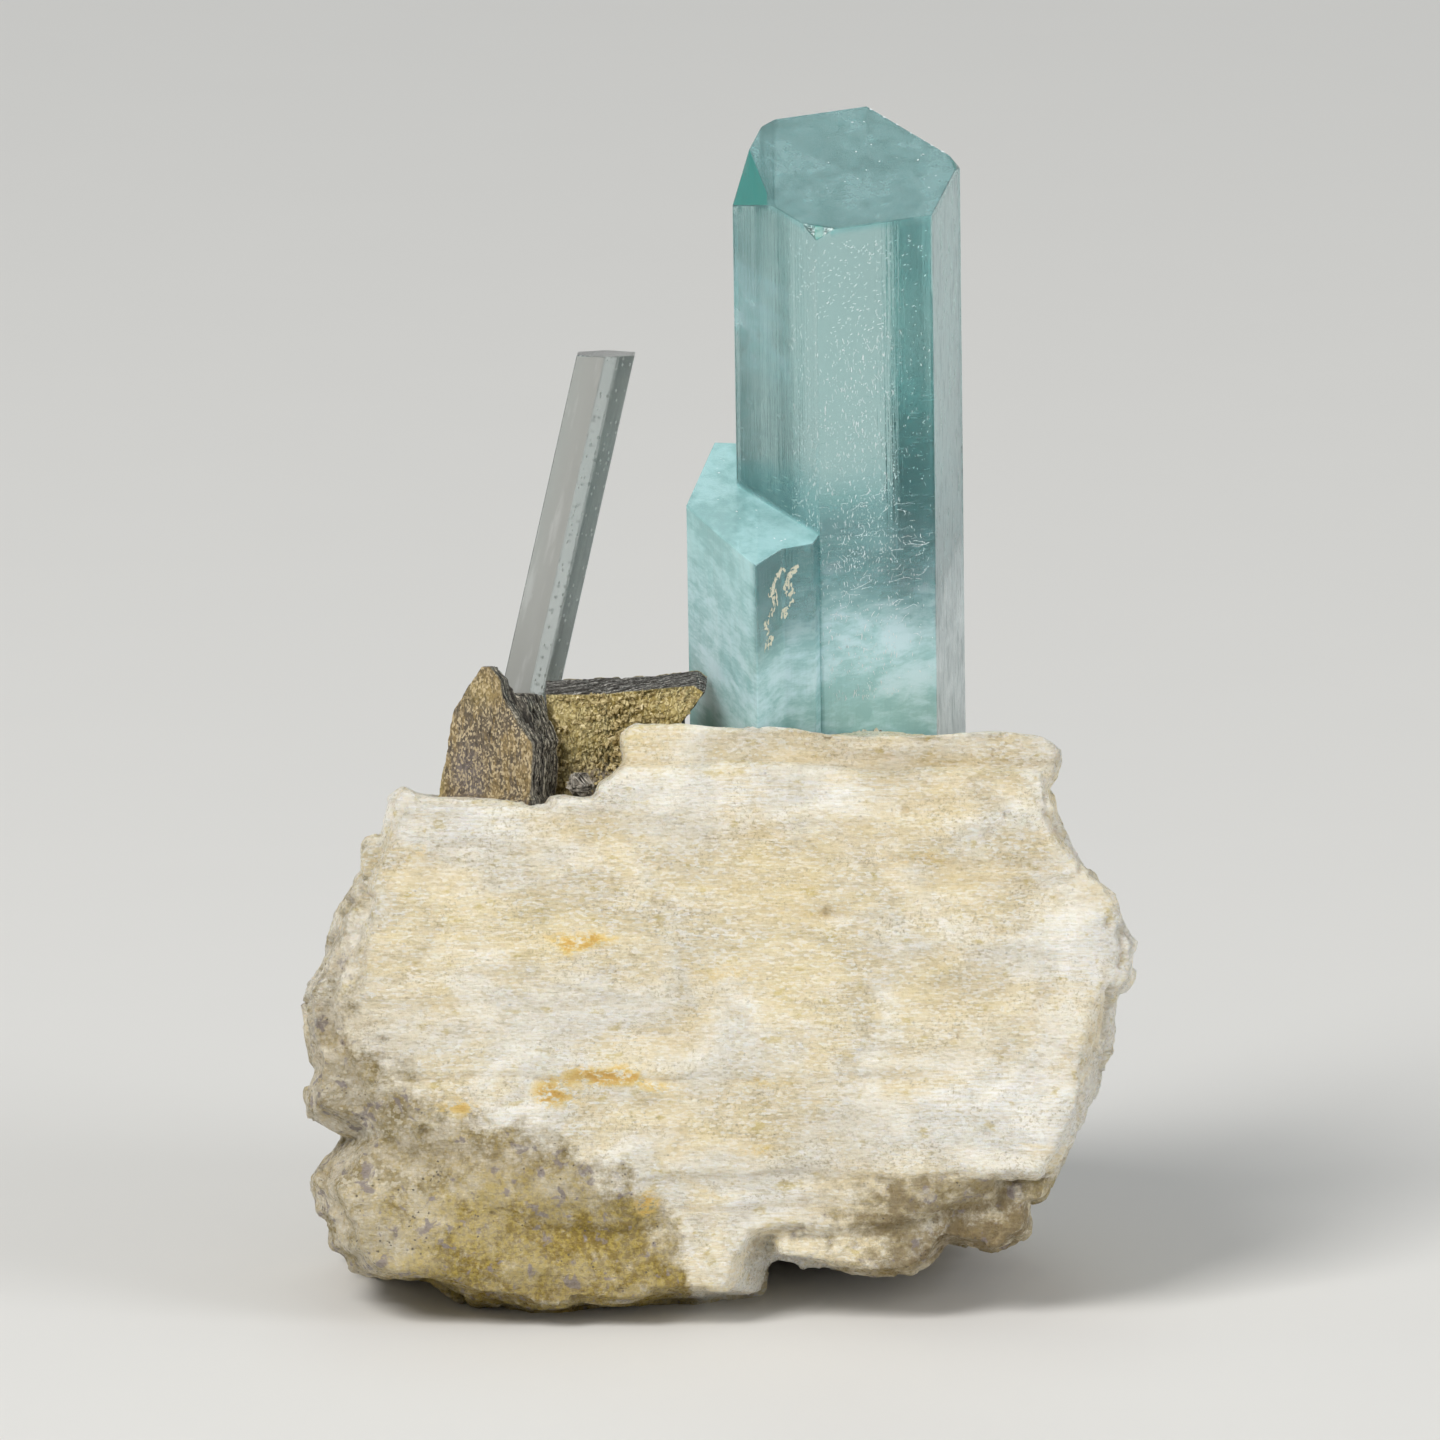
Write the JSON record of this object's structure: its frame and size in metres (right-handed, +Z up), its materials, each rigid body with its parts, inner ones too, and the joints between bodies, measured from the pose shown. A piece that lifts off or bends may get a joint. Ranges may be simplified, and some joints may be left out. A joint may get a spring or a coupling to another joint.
{
  "type": "aquamarine crystal specimen on feldspar matrix",
  "caption": "Pale blue-green hexagonal crystals, a thin clear prism and brown mica books grown out of a cream feldspar block that stands on its flat foot.",
  "frame": {"origin": "middle of the bounding box's bottom face, on the plane of the flat foot", "axes": "+Z up, +X to the right and -Y towards the viewer of the rock's broad cream face"},
  "size_m": [0.0624, 0.0508, 0.0911],
  "materials": {
    "feldspar": "rough cream white cleavage with fine striations, ochre stains and grey-brown lower breaks",
    "aquamarine": "clear pale blue-green, glossy, with frosted striated faces and milky veils near the base",
    "colourless_beryl": "clear colourless with one milky face",
    "mica_sheets": "brown-gold mica with dark silvery sheet edges",
    "mica_druse": "olive-brown granular druse over dark sheet edges",
    "dark_mica": "glossy dark brown flakes"
  },
  "bodies": {
    "root": {"feldspar_matrix": "feldspar", "aquamarine_crystals": "aquamarine", "slender_beryl": "colourless_beryl", "mica_book_upright": "mica_sheets", "mica_book_lying": "mica_druse", "mica_flakes": "dark_mica"}
  },
  "joints": []
}
